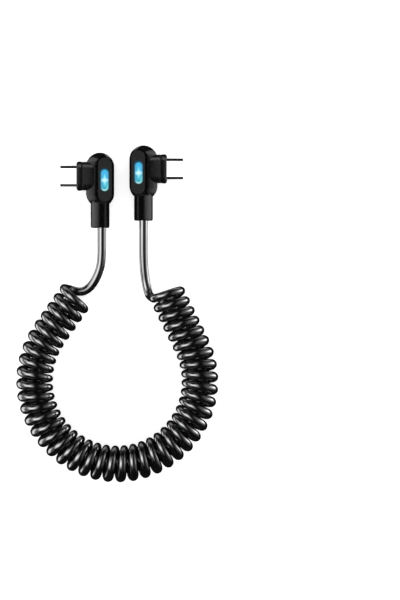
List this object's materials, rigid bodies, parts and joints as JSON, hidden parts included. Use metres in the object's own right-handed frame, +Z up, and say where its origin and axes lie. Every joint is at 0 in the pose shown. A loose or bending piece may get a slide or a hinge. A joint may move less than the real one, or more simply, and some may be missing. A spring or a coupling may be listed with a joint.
{
  "type": "coiled usb c cable",
  "caption": "Coiled black cable, curled into an open loop, with an angled plug and a lit window at each end, for charging or data.",
  "frame": {"origin": "on the surface that the cable lies on, midway between the two plugs: the centre of the bottom of the box round both plugs", "axes": "+Z up from that surface, +X across the pair of plugs, from the left one to the right one, +Y from the coil towards the plugs"},
  "size_m": [0.0807, 0.1347, 0.0148],
  "materials": {
    "housing": "glossy moulded black plastic",
    "plug_base": "satin moulded black plastic",
    "strain_relief": "smooth glossy black sleeve",
    "light_window": "clear window lit cyan from behind",
    "plug_shell": "bright nickel plate",
    "contact_block": "black moulded insulator",
    "cord": "glossy black cable jacket"
  },
  "bodies": {
    "root": {"left_housing": "housing", "left_light_window": "light_window", "left_plug_base": "plug_base", "left_usb_c_shell": "plug_shell", "left_contact_block": "contact_block", "left_strain_relief": "strain_relief", "right_housing": "housing", "right_light_window": "light_window", "right_plug_base": "plug_base", "right_usb_c_shell": "plug_shell", "right_contact_block": "contact_block", "right_strain_relief": "strain_relief", "cord_left_end": "cord", "cord_right_end": "cord", "cord_coil": "cord"}
  },
  "joints": []
}
